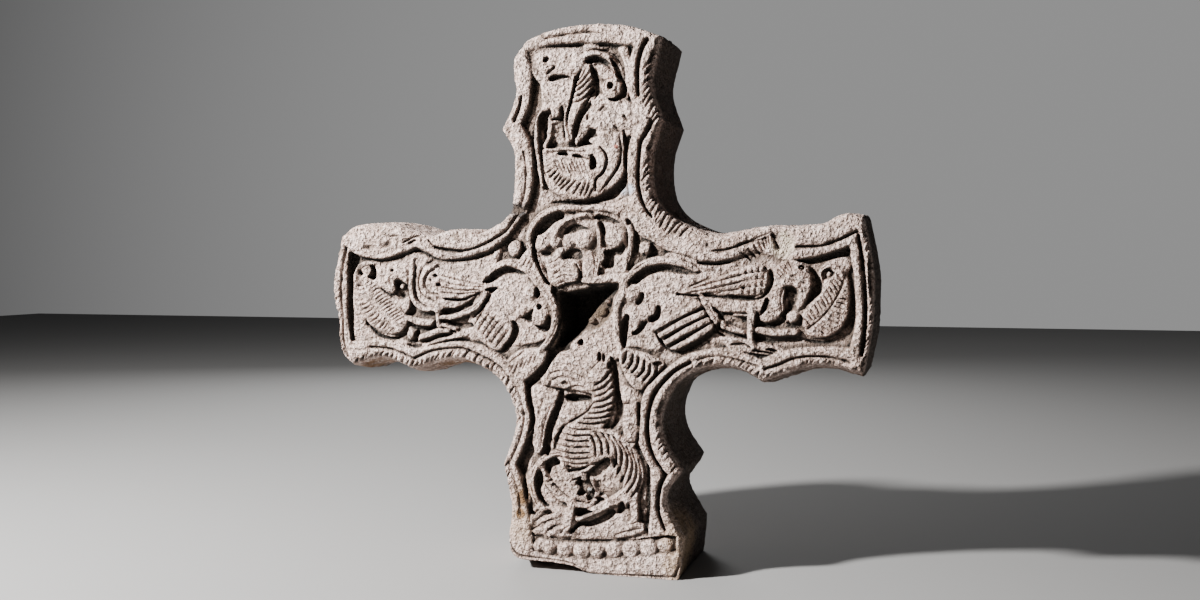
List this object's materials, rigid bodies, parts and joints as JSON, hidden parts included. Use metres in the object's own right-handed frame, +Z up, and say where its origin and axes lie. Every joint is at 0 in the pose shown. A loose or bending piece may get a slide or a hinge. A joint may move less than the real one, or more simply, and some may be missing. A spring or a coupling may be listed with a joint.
{
  "type": "carved stone cross head",
  "caption": "Free-standing carved stone cross-head with hollow-sided arms, double roll edging, and beasts, birds and leaves in low relief.",
  "frame": {"origin": "on the flat underside, below the middle of the shaft and at half its front-to-back depth", "axes": "+Z up the shaft, +X along the arms to the right as the carved front is seen, carved front towards -Y"},
  "size_m": [0.8647, 0.2027, 0.8421],
  "materials": {
    "stone": "weathered warm grey limestone, dark in the recesses"
  },
  "bodies": {
    "root": {"cross_head": "stone"}
  },
  "joints": []
}
